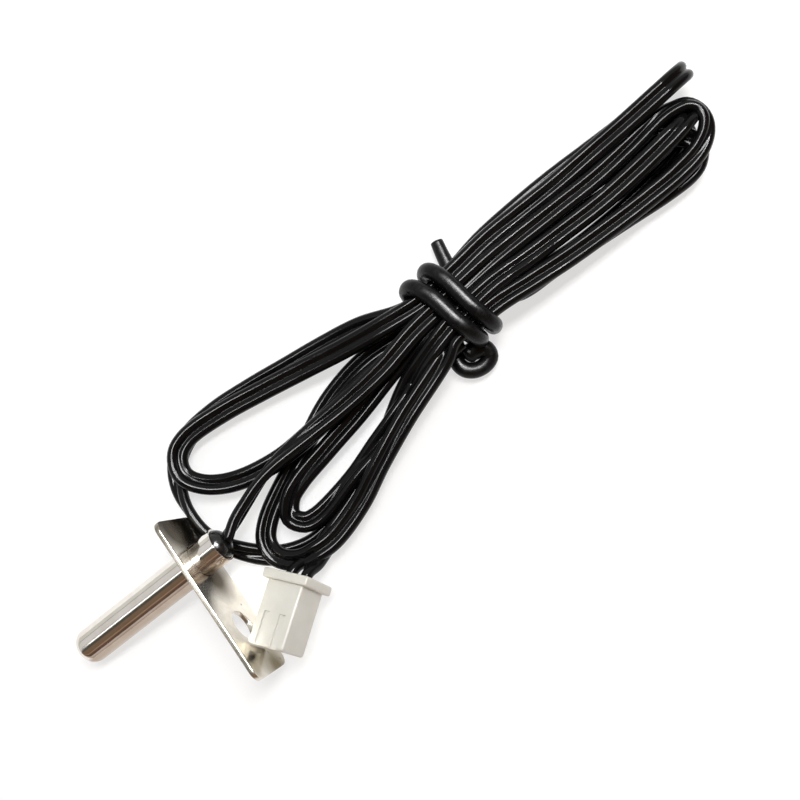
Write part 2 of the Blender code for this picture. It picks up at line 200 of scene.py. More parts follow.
# What else the cable keeps clear of: the bracket, the sheath's mouth and the floor
PLATE_BACK = 3.0
PLATE_SIDE = 6.4
MOUTH_ROOM = 0.2
FREE_RINGS = 6
FIXED_RINGS = 3
FLOOR_LEVEL = 0.79

# Drawn rings: to a tenth of a millimetre, the arc that each takes in a bend, the shortest and longest
# steps, and the step and length of the cable's ends
RING_DECIMALS = 1
BEND_ARC = 0.42
SHORTEST_STEP = 1.6
LONGEST_STEP = 6.0
END_STEP = 2.4
START_LENGTH = 9.0
END_LENGTH = 14.0
PARTED_LENGTH = 3.6

# The cable's route from the sheath's mouth to the connector, chosen in the photograph, run by run:
# x, y, z, and how far the flat cable leans, in degrees, 0 for flat and 90 for on edge
CABLE_ROUTE = [
    (25.5, 0, 5.9, 60), (26.3, 0.6, 5.8, 75), (27.5, 1.3, 5.3, 85), (29, 1.8, 4.9, 85), (31.1, 3, 4.5, 85),
    (33.7, 4.2, 4.3, 80), (37.1, 4.8, 4.3, 65), (41.7, 5.2, 4.3, 30), (49.2, 5.5, 4.6, 10),
    (56.8, 6.2, 5.4, 5), (65.8, 8.4, 6.1, 0), (74, 8.8, 5.9, 0), (77.4, 9.3, 5.5, 0), (83.8, 9.7, 4.7, 0),
    (93.6, 10.1, 4, 0), (102, 10.8, 3.8, 0), (107.9, 11.5, 4.2, 20), (111.3, 10.8, 4.4, 50),
    (112.8, 8.6, 4.5, 60), (111.7, 6, 4.4, 50), (108.3, 4.4, 4.2, 20), (101.9, 3.7, 3.8, 0),
    (93.6, 3.3, 4, 0), (87.6, 3.4, 4.3, 0), (83.9, 3.4, 4.7, 0), (78.3, 3.5, 5.4, -5),
    (73.9, 3.4, 5.7, -10), (70.1, 3, 5.8, -30), (66.1, 1.3, 5.6, -30), (61.2, 1.1, 5.2, -20),
    (55.9, -0.7, 4.6, 0), (50.5, -2.6, 4.2, 20), (45.3, -5.4, 3.8, 20), (39.8, -7.7, 3.2, 20),
    (34.9, -8.4, 2.6, 25), (31, -7.6, 2.3, 30), (28.8, -5.1, 2.2, 35), (28.9, -2.4, 2.1, 30),
    (31.4, -0.3, 2, 20), (34.7, 1.5, 1.7, 30), (38.2, 3.5, 1.3, 40), (42.7, 5.7, 1, 20),
    (48.4, 8.3, 1.1, 10), (55.9, 9.5, 2, 0), (66.1, 8.7, 3.1, 0), (74.5, 9.2, 2.9, 0), (84.5, 10.2, 1.7, 0),
    (94.6, 10.8, 1, 0), (101.7, 11.4, 0.8, 0), (106.8, 11.7, 0.9, 10), (110.2, 11, 1.3, 30),
    (111.8, 9, 1.5, 45), (110.7, 7.1, 1.3, 30), (107, 6.3, 0.9, 10), (102.5, 5.4, 0.8, 0),
    (94.6, 4.5, 1, 0), (84.6, 4.2, 1.7, 0), (74.6, 4.4, 2.9, 0), (66.4, 2.3, 3.1, 0), (60.5, 2.8, 3.3, 0),
    (56.3, 0.7, 2.6, 0), (50.8, -1.1, 2.3, 0), (44.5, -2.9, 2.2, 10), (39.3, -4, 2.2, 10),
    (36, -4.6, 2.2, 5), (34, -3.8, 2.2, 5), (33.2, -2.2, 2.2, 5), (34.7, -0.2, 2.2, 5), (37.7, 1.1, 2.3, 5),
    (41.9, 2, 2.6, 5), (48.7, 3.4, 2.9, 0), (56, 5.3, 3.6, 0), (66, 7.2, 4.6, 0), (74.2, 8.6, 4.4, 0),
    (84.1, 9.9, 3.2, 0), (94.1, 10.3, 2.5, 0), (101.9, 10.2, 2.3, 0), (106.4, 9.5, 2.5, 20),
    (109.1, 7.9, 2.7, 40), (110.3, 5.4, 2.7, 40), (109.3, 3.7, 2.6, 30), (104.8, 3, 2.4, 0),
    (96.9, 3.3, 2.4, 0), (87.1, 3.7, 2.9, 0), (74.4, 3.8, 4.4, 0), (66.2, 1.9, 4.6, 0), (60.4, 2.7, 2.8, 0),
    (55.1, 1, 1.2, 0), (49.5, -2, 0.8, 0), (42.9, -4.8, 0.8, 0), (36.6, -6.9, 0.8, 0),
    (32.3, -6.8, 0.8, 10), (29.1, -5.2, 1.1, 30), (26.9, -2.8, 1.3, 55), (24.4, -0.4, 1.4, 60),
    (22.7, 2.7, 1.4, 50), (22.4, 6.3, 1.4, 40), (23, 10, 1.3, 50), (24.4, 13.7, 1, 30),
    (26.9, 15.8, 0.8, 10), (31.2, 16.7, 0.8, 0), (37.2, 16.5, 1, 0), (44.6, 15.7, 1.1, 0),
    (53.5, 14.4, 1.9, 0), (60.4, 12.9, 3, 0), (65.9, 10.7, 4.6, 0), (73.6, 12.3, 4.4, 30),
    (77.6, 12.8, 4, 35), (84.1, 13.6, 3.2, 35), (93, 14.3, 2.5, 35), (97.6, 14.2, 2.4, 20),
    (103, 14.4, 1.4, 0), (111, 15.1, 0.9, 0), (115, 15.4, 1.8, 0), (115.3, 14.9, 3.8, 0),
    (113.1, 14.3, 5.8, 0), (109.2, 13.8, 6.3, 0), (102.9, 13.4, 5, 0), (97.1, 13.2, 3.9, 0),
    (92.2, 12.8, 4, 0), (83.7, 12.2, 4.7, 0), (76.7, 11.9, 5.5, 15), (71.2, 11.6, 5.7, 30),
    (65.7, 11.1, 5.7, 25), (59.8, 11.1, 5, 5), (53.1, 12.2, 3.6, 5), (44.9, 13.9, 2.7, 5),
    (37.6, 15.1, 2.4, 5), (31.8, 15.6, 2.4, 15), (27.2, 15.8, 2.4, 40), (24.9, 13.6, 2.5, 50),
    (24.7, 10.6, 2.5, 40), (27.1, 8.3, 2.4, 15), (30.2, 6.7, 2.4, 0), (34.1, 5.6, 2.4, 0),
    (39, 5.2, 2.5, 0), (45.5, 5.9, 2.4, 0), (53.1, 6.7, 2.6, 0), (60.6, 7.2, 3.6, 0), (66.1, 4.4, 4.6, 0),
    (74.3, 6, 4.4, 0), (84.2, 7, 3.2, 0), (94.1, 7.5, 2.5, 0), (102.1, 7.5, 1.6, 0), (107.6, 9.3, 1, 0),
    (111.5, 9.7, 2.4, 0), (112, 9.4, 3.9, 0), (110, 8.8, 5.5, 0), (105.6, 7.9, 5.7, 0), (101, 7.5, 4.5, 0),
    (93.6, 6.8, 4, 0), (87.6, 6.8, 4.3, 0), (83.8, 6.5, 4.7, 0), (78.2, 6.5, 5.4, 0), (74, 6.3, 5.9, 0),
    (66, 4.2, 6.1, 0), (62.2, 3.9, 4.8, 20), (57.5, 2.5, 3, 20), (53.5, 0.3, 1.9, 0), (47.7, -3.2, 1.6, 0),
    (41.5, -6, 1.5, 0), (36.7, -7.6, 1.6, 0), (34.2, -8.5, 2.2, 0),
]

# The cores from where the cable parts, and the two free ends of the tie
FIRST_CORE_ROUTE = [(37.3, -6.71, 2.04), (36.0, -7.11, 2.13), (34.4, -7.75, 2.2), (32.5, -8.15, 2.7)]
SECOND_CORE_ROUTE = [(37.9, -8.07, 2.02), (36.8, -8.37, 1.96), (35.3, -8.95, 2.2), (33.5, -9.75, 3.4)]
TIE_STUB_ROUTE = [(73.2, 17.2, 1.1), (72.6, 14.6, 1.1), (72.1, 11.6, 1.1)]
TIE_END_ROUTE = [
    (65.5, 2.5, 1.20), (65.1, 1.1, 1.20), (65.4, -0.1, 1.20), (66.5, -1.0, 1.25), (68.1, -1.2, 1.35),
    (69.2, -0.7, 1.60), (69.2, 0.6, 2.00), (67.7, 1.2, 2.25), (66.3, 1.2, 2.40),
]


# Meshes

def finish_mesh(name, shape, look, to_world=None):
    """One finished piece from a bmesh in millimetres, its object at the origin."""
    bmesh.ops.recalc_face_normals(shape, faces=shape.faces)
    mesh = bpy.data.meshes.new(name)
    shape.to_mesh(mesh)
    shape.free()
    mesh.transform(Matrix.Scale(MM, 4) @ (to_world or Matrix.Translation(GROUND)))
    for polygon in mesh.polygons:
        polygon.use_smooth = True
    obj = bpy.data.objects.new(name, mesh)
    bpy.context.scene.collection.objects.link(obj)
    mesh.materials.append(look)
    return obj


def smooth_line(points, step, measured=None, whole=math.ceil):
    """Points about a step apart on a smooth curve through the given ones.

    Distances are between the points' first measured numbers, or between all of them."""
    ringed = [points[0] * 2 - points[1], *points, points[-1] * 2 - points[-2]]
    line = []
    for index in range(len(points) - 1):
        before, start, end, after = ringed[index:index + 4]
        pairs = ((before, start), (start, end), (end, after))
        spans = [math.dist(a[:measured], b[:measured]) for a, b in pairs]
        gaps = [max(span, 1e-6) ** 0.5 for span in spans]
        middle_pull = (end - start) / gaps[1]
        out_pull = (start - before) / gaps[0] - (end - before) / (gaps[0] + gaps[1]) + middle_pull
        in_pull = middle_pull - (after - start) / (gaps[1] + gaps[2]) + (after - end) / gaps[2]
        leave = out_pull * gaps[1]
        arrive = in_pull * gaps[1]
        count = max(1, whole(spans[1] / step))
        for part in range(count):
            t = part / count
            line.append(start * (2 * t ** 3 - 3 * t ** 2 + 1) + leave * (t ** 3 - 2 * t ** 2 + t)
                        + end * (3 * t ** 2 - 2 * t ** 3) + arrive * (t ** 3 - t ** 2))
    return [*line, points[-1]]


def ring_loft(shape, rings):
    """Faces between rings of points, closed at both ends."""
    loops = [[shape.verts.new(point) for point in ring] for ring in rings]
    count = len(loops[0])
    for first, second in zip(loops, loops[1:]):
        for index in range(count):
            after = (index + 1) % count
            shape.faces.new((first[index], first[after], second[after], second[index]))
    shape.faces.new(loops[0][::-1])
    shape.faces.new(loops[-1])


def directions(line):
    ends = [line[0] * 2 - line[1], *line, line[-1] * 2 - line[-2]]
    return [(after - before).normalized() for before, after in zip(ends, ends[2:])]


def round_sweep(name, line, radius, look, sides=20, radii=None):
    """A round wire along a line, its ends rounded over a little."""
    shape = bmesh.new()
    rings = []
    across = None
    for index, (middle, ahead) in enumerate(zip(line, directions(line))):
        across = across or ahead.orthogonal()
        across = (across - ahead * across.dot(ahead)).normalized()
        upward = ahead.cross(across)
        wide = radii[index] if radii else radius
        rings.append([middle + (across * math.cos(a) + upward * math.sin(a)) * wide
                      for a in (2 * math.pi * side / sides for side in range(sides))])
    ring_loft(shape, rings)
    return finish_mesh(name, shape, look)


def lengths_along(line):
    return np.concatenate([[0], np.cumsum(np.linalg.norm(np.diff(line, axis=0), axis=1))])


def by_tie(x, reach):
    """1 at the tie, falling to 0 on either side of it."""
    return np.exp(-((x - WAIST_X) / reach) ** 2)


def bundle_middle(x):
    return BUNDLE_MIDDLE + WAIST_LEAN * (x - WAIST_X)


def chosen_cores():
    """The chosen route ring by ring: its middles, where the first core lies from them, and both cores."""
    fine = np.array(smooth_line(np.array(CABLE_ROUTE, float), ROUTE_STEP, 3, math.floor))
    along = lengths_along(fine[:, :3])
    even = np.linspace(0, along[-1], int(along[-1] / RING_STEP) + 1)
    x, y, z, lean = (np.interp(even, along, fine[:, part]) for part in range(4))
    middles = np.stack([x, y, z], 1)
    ahead = np.gradient(middles, axis=0)
    ahead /= np.linalg.norm(ahead, axis=1)[:, None]
    level = np.cross(ahead, (0, 0, 1))
    for index, size in enumerate(np.linalg.norm(level, axis=1)):
        if index and size < UPRIGHT:
            level[index] = level[index - 1] - ahead[index] * (level[index - 1] @ ahead[index])
            size = np.linalg.norm(level[index])
        elif index and level[index] @ level[index - 1] < 0:
            size = -size
        level[index] /= size
    lean = np.radians(lean)[:, None]
    across = (level * np.cos(lean) + np.cross(level, ahead) * np.sin(lean)) * CORE_SPACING / 2
    cores = np.concatenate([middles + across, middles - across])
    squeeze = SQUEEZE * by_tie(x, SQUEEZE_REACH) * (y - bundle_middle(x))
    middles[:, 1] -= squeeze
    cores[:, 1] -= np.tile(squeeze, 2)
    return middles, across, cores


def straighten(core, reach, share):
    """Moves each ring of a core part of the way to a smooth bend through its neighbours."""
    count = len(core)
    goal = (4 * core[reach:count - 3 * reach] + 4 * core[3 * reach:count - reach]
            - core[:count - 4 * reach] - core[4 * reach:]) / 6
    inner = core[2 * reach:count - 2 * reach]
    inner += share * (goal - inner)


def keep_length(core):
    """Draws rings together where the core is stretched, and apart where it is bunched."""
    steps = core[1:] - core[:-1]
    sizes = np.linalg.norm(steps, axis=1)[:, None]
    moves = STRETCH_SHARE * (sizes - RING_STEP) * steps / sizes
    moves[np.abs(sizes[:, 0] - RING_STEP) <= RING_GIVE] = 0
    core[:-1] += moves
    core[1:] -= moves


def follow_route(firsts, seconds, middles, across, pull):
    """Draws the cable to its chosen route, in place and in lean."""
    away = (middles - (firsts + seconds) / 2) * (1, 1, HEIGHT_PULL) * pull
    firsts += away
    seconds += away
    lean = (firsts - seconds) / 2
    wanted = across * np.sign((across * lean).sum(1))[:, None]
    turn = LEAN_PULL * pull * (wanted - lean)
    firsts += turn
    seconds -= turn


def hold_twin(firsts, seconds):
    """Keeps the two cores side by side, a little closer under the tie."""
    gaps = firsts - seconds
    sizes = np.linalg.norm(gaps, axis=1)[:, None]
    wanted = CORE_SPACING - TWIN_PRESSED * by_tie((firsts + seconds)[:, :1] / 2, PRESS_REACH)
    moves = 0.5 * (sizes - wanted) * gaps / sizes
    firsts -= moves
    seconds += moves


def close_pairs(places, rings):
    """The pairs of places that touch or may soon, neighbours along the cable left out."""
    squares = (places ** 2).sum(1)
    apart = squares[:, None] + squares - 2 * places @ places.T
    ones, others = np.nonzero(np.triu(apart < (TOUCH + WATCH) ** 2, 1))
    kept = np.abs(rings[ones] - rings[others]) > NEIGHBOURS
    return ones[kept], others[kept]


def push_apart(places, ones, others):
    """Moves cores that overlap away from each other, less under the tie, which presses them together."""
    gaps = places[ones] - places[others]
    sizes = np.linalg.norm(gaps, axis=1)[:, None]
    touching = sizes[:, 0] <= TOUCH
    ones, others, gaps, sizes = ones[touching], others[touching], gaps[touching], sizes[touching] + 1e-9
    wanted = TOUCH - TOUCH_PRESSED * by_tie(places[ones, :1], PRESS_REACH)
    moves = PUSH_SHARE * np.maximum(0, wanted - sizes) * gaps / sizes
    sums, counts = np.zeros_like(places), np.zeros(len(places))
    np.add.at(sums, ones, moves)
    np.add.at(sums, others, -moves)
    np.add.at(counts, ones, 1)
    np.add.at(counts, others, 1)
    places += sums / np.maximum(1, counts / 2)[:, None]


def hold_in_tie(places):
    """Keeps the cores inside the tie's rounded opening, which widens on both sides of it."""
    from_tie = np.abs(places[:, 0] - WAIST_X)
    held = from_tie < HELD_REACH
    opening = np.maximum(0, from_tie[held] - HELD_STRAIGHT) ** 2
    radius = CORE_SPACING / 2
    half_width = HELD_HALF_WIDTH - radius + WIDTH_OPENS * opening
    half_height = (WAIST_TOP - WAIST_BOTTOM) / 2 + HELD_ROOM - radius + HEIGHT_OPENS * opening
    level = np.full(held.sum(), (WAIST_TOP + WAIST_BOTTOM) / 2)
    middle = np.stack([bundle_middle(places[held, 0]), level], 1)
    offset = places[held, 1:] - middle
    powers = np.abs(offset / np.stack([half_width, half_height], 1)) ** HELD_CORNERS
    share = powers.sum(1) ** (1 / HELD_CORNERS)
    places[held, 1:] = middle + offset / np.maximum(1, share)[:, None]


def clear_probe(places, rings):
    """Moves the cores out of the bracket, the sheath and the floor, and under the hank's top."""
    radius = CORE_SPACING / 2
    axis = np.array((math.cos(TILT), 0, math.sin(TILT)))
    depth = (places - (0, 0, TIP_HEIGHT)) @ axis - PLATE_FROM_TIP - PLATE_THICKNESS / 2
    inside = (depth < radius) & (depth > -PLATE_BACK) & (places[:, 1] < PLATE_SIDE)
    places[inside] += PROBE_PUSH_SHARE * (radius - depth[inside])[:, None] * axis
    from_tip = places - (0, 0, TIP_HEIGHT)
    height = from_tip @ axis
    outward = from_tip - height[:, None] * axis
    sizes = np.linalg.norm(outward, axis=1)
    inside = (height < TUBE_LENGTH + MOUTH_ROOM) & (sizes < TUBE_RADIUS + radius) & (rings > FREE_RINGS)
    missing = (TUBE_RADIUS + radius - sizes[inside]) / sizes[inside]
    places[inside] += PROBE_PUSH_SHARE * missing[:, None] * outward[inside]
    places[:, 2] = np.clip(places[:, 2], FLOOR_LEVEL, WAIST_TOP - radius)


def settled_cores():
    """Both cores' middles, ring by ring, once no run of the route passes through another."""
    middles, across, places = chosen_cores()
    count = len(middles)
    rings = np.tile(np.arange(count), 2)
    ends = np.concatenate([np.arange(FIXED_RINGS), [count - 1]])
    ends = np.concatenate([ends, ends + count])
    held_ends = places[ends]
    firsts, seconds = places[:count], places[count:]
    watched = np.full_like(places, np.inf)
    for turn in range(SETTLE_ROUNDS):
        for core in (firsts, seconds):
            straighten(core, 1, BEND_SHARE)
            straighten(core, 3, LONG_BEND_SHARE)
        pull = FIRST_PULL + (LAST_PULL - FIRST_PULL) * turn / SETTLE_ROUNDS
        follow_route(firsts, seconds, middles, across, pull)
        keep_length(firsts)
        keep_length(seconds)
        for _ in range(PUSH_ROUNDS):
            hold_twin(firsts, seconds)
            # Two cores come nearer by less than WATCH while no coordinate moves by a quarter of it
            if np.abs(places - watched).max() > WATCH / 4:
                watched = places.copy()
                ones, others = close_pairs(places, rings)
            push_apart(places, ones, others)
            hold_in_tie(places)
            clear_probe(places, rings)
        places[ends] = held_ends
    return firsts, seconds


def cable_rings():
    """The middles of both cores as six numbers a ring, with more rings in bends, to where the cores part."""
    firsts, seconds = settled_cores()
    middles = (firsts + seconds) / 2
    along = lengths_along(middles)
    ahead = np.gradient(middles, along, axis=0)
    bends = np.linalg.norm(np.cross(ahead, np.gradient(ahead, along, axis=0)), axis=1)
    bends = np.convolve(np.pad(bends, 2, mode="edge"), np.ones(5) / 5, "valid")
    last = int(np.searchsorted(along, along[-1] - PARTED_LENGTH))
    picked = [0]
    while picked[-1] < last:
        here = picked[-1]
        step = END_STEP
        if START_LENGTH < along[here] < along[-1] - END_LENGTH:
            step = np.clip(BEND_ARC / bends[here:here + 6].max(), SHORTEST_STEP, LONGEST_STEP)
        picked.append(min(int(np.searchsorted(along, along[here] + step)), last))
    cores = np.round(np.concatenate([firsts, seconds], 1), RING_DECIMALS)
    return [Vector(cores[index]) for index in picked]


def twin_section():
    """Outline of the flat cable, as two touching round cores: across, upward."""
    outline = []
    for side, start in ((1, -150), (-1, 30)):
        for step in range(13):
            angle = math.radians(start + 25 * step)
            x = side * CORE_SPACING / 2 + CORE_RADIUS * math.cos(angle)
            outline.append((x, CORE_RADIUS * math.sin(angle)))
    return outline


def flat_cable(look):
    """The two-core cable, and the middles of its rings."""
    cores = smooth_line(cable_rings(), CABLE_STEP)
    firsts = [Vector(point[:3]) for point in cores]
    seconds = [Vector(point[3:]) for point in cores]
    line = [(a + b) / 2 for a, b in zip(firsts, seconds)]
    section = twin_section()
    shape = bmesh.new()
    rings = []
    for middle, first, second, ahead in zip(line, firsts, seconds, directions(line)):
        across = first - second
        across = (across - ahead * across.dot(ahead)).normalized()
        upward = ahead.cross(across)
        rings.append([middle + across * u + upward * v for u, v in section])
    ring_loft(shape, rings)
    return finish_mesh("flat_cable", shape, look), line


def turned(name, profile, look, to_world, steps=96):
    """A closed solid of revolution round local Z."""
    shape = bmesh.new()
    points = [shape.verts.new((radius, 0, height)) for radius, height in profile]
    edges = [shape.edges.new(pair) for pair in zip(points, points[1:])]
    bmesh.ops.spin(shape, geom=[*points, *edges], cent=(0, 0, 0), axis=(0, 0, 1), angle=2 * math.pi,
                   steps=steps, use_merge=True)
    bmesh.ops.remove_doubles(shape, verts=shape.verts, dist=1e-4)
    return finish_mesh(name, shape, look, to_world)


def arc(centre, radius, start, end, steps):
    angles = [math.radians(start + (end - start) * step / steps) for step in range(steps + 1)]
    return [(centre[0] + radius * math.cos(a), centre[1] + radius * math.sin(a)) for a in angles]


def probe_frame():
    return (Matrix.Translation(GROUND + Vector((0, 0, TIP_HEIGHT)))
            @ Matrix.Rotation(math.pi / 2 - TILT, 4, "Y"))


def sheath(look):
    bore = TUBE_RADIUS - TUBE_WALL
    inner_corner = TIP_CORNER - TUBE_WALL
    outer = arc((TUBE_RADIUS - TIP_CORNER, TIP_CORNER), TIP_CORNER, -90, 0, 16)
    rim = arc((TUBE_RADIUS - RIM_ROUND, TUBE_LENGTH - RIM_ROUND), RIM_ROUND, 0, 90, 4)
    inner = arc((bore - inner_corner, TIP_CORNER), inner_corner, 0, -90, 6)
    barrel = [(TUBE_RADIUS, TIP_CORNER + (TUBE_LENGTH - TIP_CORNER) * part / 8) for part in range(1, 8)]
    profile = [(0, 0), *outer, *barrel, *rim, (bore, TUBE_LENGTH), *inner, (0, TUBE_WALL)]
    return turned("sheath", profile, look, probe_frame())


def epoxy_seal(look):
    radius = TUBE_RADIUS - TUBE_WALL - SEAL_FIT
    rim = TUBE_LENGTH - SEAL_SINK
    angles = [math.radians(degrees) for degrees in range(0, 90, 6)]
    dome = [(radius * math.cos(angle), rim + SEAL_BULGE * math.sin(angle)) for angle in angles]
    bottom = TUBE_LENGTH - SEAL_DEPTH
    profile = [(0, bottom), (radius, bottom), *dome, (0, rim + SEAL_BULGE)]
    return turned("epoxy_seal", profile, look, probe_frame(), 48)


def plate_outline(inset):
    corner = PLATE_CORNER - inset
    half_width = PLATE_WIDTH / 2 - PLATE_CORNER
    near = TUBE_FROM_PLATE_END - PLATE_CORNER
    far = near + 2 * PLATE_CORNER - PLATE_LENGTH
    return [*arc((half_width, near), corner, 0, 90, 12), *arc((-half_width, near), corner, 90, 180, 12),
            *arc((-half_width, far), corner, 180, 270, 12), *arc((half_width, far), corner, 270, 360, 12)]


def bracket(look):
    """The stamped plate, its edges and holes rounded over, width on local X and length on local Y."""
    shape = bmesh.new()
    screw_y = TUBE_FROM_PLATE_END - PLATE_LENGTH + SCREW_FROM_PLATE_END
    rounds = arc((0, 0), PLATE_EDGE_ROUND, 0, 90, 3)
    half = PLATE_THICKNESS / 2
    levels = [(PLATE_EDGE_ROUND - x, half - PLATE_EDGE_ROUND + z) for x, z in rounds]
    levels = [(inset, -z) for inset, z in reversed(levels)] + levels
    around = (0, 360 - 360 / HOLE_SIDES, HOLE_SIDES - 1)
    outlines = [
        plate_outline,
        lambda inset: arc((0, 0), TUBE_RADIUS + PLATE_FIT + inset, *around),
        lambda inset: arc((0, screw_y), SCREW_HOLE_RADIUS + inset, *around),
    ]
    rims = []
    for outline in outlines:
        loops = [[shape.verts.new((x, y, PLATE_FROM_TIP + z)) for x, y in outline(inset)]
                 for inset, z in levels]
        count = len(loops[0])
        for low, high in zip(loops, loops[1:]):
            for index in range(count):
                after = (index + 1) % count
                shape.faces.new((low[index], low[after], high[after], high[index]))
        rims.append((loops[0], loops[-1]))
    for which in (0, 1):
        edges = [shape.edges.get((loops[which][index], loops[which][index - 1]))
                 for loops in rims for index in range(len(loops[which]))]
        bmesh.ops.triangle_fill(shape, use_beauty=True, edges=edges)
    made = finish_mesh("bracket", shape, look, probe_frame())
    for polygon in made.data.polygons:
        polygon.use_smooth = len(polygon.vertices) == 4
    return made


def block(shape, size, centre):
    made = bmesh.ops.create_cube(shape, size=1.0)["verts"]
    bmesh.ops.scale(shape, vec=size, verts=made)
    bmesh.ops.translate(shape, vec=centre, verts=made)


def block_object(size, centre, rounding=0.0):
    shape = bmesh.new()
    block(shape, size, centre)
    if rounding:
        bmesh.ops.bevel(shape, geom=shape.edges, offset=rounding, affect="EDGES", segments=4, profile=0.5,
                        material=-1)
    mesh = bpy.data.meshes.new("block")
    shape.to_mesh(mesh)
    shape.free()
    obj = bpy.data.objects.new("block", mesh)
    bpy.context.scene.collection.objects.link(obj)
    return obj


def housing_frame():
    return Matrix.Translation(GROUND + HOUSING_PLACE) @ HOUSING_TURN.to_matrix().to_4x4()


def housing(look):
    """The moulded connector body, length on local Z from the mating end to the wire side."""
    body = block_object(BODY_SIZE, (0, 0, BODY_SIZE.z / 2), BODY_ROUND)
    flange_middle = HOUSING_LENGTH - FLANGE_SIZE.z / 2
    steps = [("UNION", FLANGE_SIZE, (0, 0, flange_middle), FLANGE_ROUND)]
    recess = (FLANGE_SIZE.x - 2 * RECESS_RIM, FLANGE_SIZE.y - 2 * RECESS_RIM, 2 * RECESS_DEPTH)
    steps.append(("DIFFERENCE", recess, (0, 0, HOUSING_LENGTH), CAVITY_ROUND))
    for side in (-1, 1):
        x = side * CAVITY_PITCH / 2
        cavity = (*CAVITY_SIZE, 2 * HOUSING_LENGTH)
        steps.append(("DIFFERENCE", cavity, (x, 0, HOUSING_LENGTH / 2), CAVITY_ROUND))
        groove = (GROOVE_WIDTH, 2 * GROOVE_DEPTH, 2 * GROOVE_LENGTH)
        steps.append(("DIFFERENCE", groove, (x, -BODY_SIZE.y / 2, 0), CAVITY_ROUND))
    helpers = []
    for operation, size, centre, rounding in steps:
        helper = block_object(size, centre, rounding)
        helpers.append(helper)
        change = body.modifiers.new("Shape", "BOOLEAN")
        change.object = helper
        change.operation = operation
        change.solver = "EXACT"
    graph = bpy.context.evaluated_depsgraph_get()
    shape = bmesh.new()
    shape.from_mesh(body.evaluated_get(graph).to_mesh())
    for helper in (*helpers, body):
        bpy.data.objects.remove(helper, do_unlink=True)
    made = finish_mesh("housing", shape, look, housing_frame())
    made.data.set_sharp_from_angle(angle=math.radians(SHARP_ANGLE))
    return made


def core_wire(name, route, side, look):
    """One core, from where the cable parts into its cavity."""
    to_ground = Matrix.Translation(-GROUND) @ housing_frame()
    x = side * CAVITY_PITCH / 2
    heights = (HOUSING_LENGTH + WIRE_STRAIGHT, CORE_END_HEIGHT)
    entry = [to_ground @ Vector((x, 0, height)) for height in heights]
    line = smooth_line([*(Vector(point) for point in route), *entry], SPLIT_STEP)
    return round_sweep(name, line, SPLIT_RADIUS, look)


def waist_ring(offset, angle):
    """A point (y, z) beside the tied bundle, that far outside its skin. Angle 0 is the lowest point."""
    across = -math.sin(angle)
    upward = -math.cos(angle)
    half_height = (WAIST_TOP - WAIST_BOTTOM) / 2
    y = WAIST_HALF_WIDTH * math.copysign(abs(across) ** WAIST_POWER, across)
    z = half_height * math.copysign(abs(upward) ** WAIST_POWER, upward)
    lean_y = math.copysign(abs(across) ** (2 - WAIST_POWER), across) / WAIST_HALF_WIDTH
    lean_z = math.copysign(abs(upward) ** (2 - WAIST_POWER), upward) / half_height
    outward = Vector((lean_y, lean_z)).normalized() * offset
    return WAIST_MIDDLE + y + outward.x, WAIST_BOTTOM + half_height + z + outward.y


def tie(look):
    """Two turns of coated wire round the bundle, from a cut stub to a bent end."""
    steps = 24
    turns = []
    for step in range(1, TIE_TURNS * steps):
        along = step / steps * 4
        quarter = min(int(along), len(TIE_QUARTERS) - 2)
        share = along - quarter
        x = TIE_QUARTERS[quarter] * (1 - share) + TIE_QUARTERS[quarter + 1] * share
        y, z = waist_ring(TIE_OFFSET, 2 * math.pi * step / steps)
        turns.append(Vector((x, y + WAIST_LEAN * (x - WAIST_X), z)))
    stub = [Vector(point) for point in TIE_STUB_ROUTE]
    end = [Vector(point) for point in TIE_END_ROUTE]
    line = smooth_line([*stub, *turns, *end], TIE_STEP)
    swell = [(index - len(line)) / TIE_END_RINGS + 2 for index in range(len(line))]
    radii = [TIE_RADIUS + (TIE_END_RADIUS - TIE_RADIUS) * min(max(part, 0), 1) for part in swell]
    for index in range(TIE_STUB_RINGS):
        radii[index] = TIE_RADIUS * (TIE_STUB_THIN + (1 - TIE_STUB_THIN) * index / TIE_STUB_RINGS)
    radii[-2:] = [TIE_END_RADIUS * share for share in TIE_END_ROUNDING]
    return round_sweep("tie_wire", line, TIE_RADIUS, look, 24, radii)


# Materials

def linear(colour):
    """A hex colour as it looks on a screen, as linear red, green, blue and alpha."""
    parts = [int(colour[index:index + 2], 16) / 255 for index in (1, 3, 5)]
    return (*(part / 12.92 if part <= 0.04045 else ((part + 0.055) / 1.055) ** 2.4 for part in parts), 1.0)


def add_node(tree, kind, values=None, links=None, **settings):
    made = tree.nodes.new(kind)
    for key, value in settings.items():
        setattr(made, key, value)
    for socket, value in (values or {}).items():
        made.inputs[socket].default_value = value
    for socket, source in (links or {}).items():
        tree.links.new(source, made.inputs[socket])
    return made


def new_look(name, values):
    look = bpy.data.materials.new(name)
    look.use_nodes = True
    tree = look.node_tree
    shader = tree.nodes["Principled BSDF"]
    for socket, value in values.items():
        shader.inputs[socket].default_value = value
    place = add_node(tree, "ShaderNodeTexCoord").outputs["Object"]
    return look, tree, shader, place


def noise(tree, place, size, detail=3.0):
    """Noise whose patches are about this many millimetres across."""
    values = {"Scale": 1 / (size * MM), "Detail": detail}
    return add_node(tree, "ShaderNodeTexNoise", values, {"Vector": place}).outputs["Fac"]


def blend(tree, amount, low, high, start=0.35, end=0.65):
    """Two colours or two numbers mixed by a pattern."""
    made = add_node(tree, "ShaderNodeValToRGB", links={"Fac": amount})
    for element, place, value in zip(made.color_ramp.elements, (start, end), (low, high)):
        element.position = place
        element.color = value if isinstance(value, tuple) else (value, value, value, 1)
    return made.outputs["Color"]


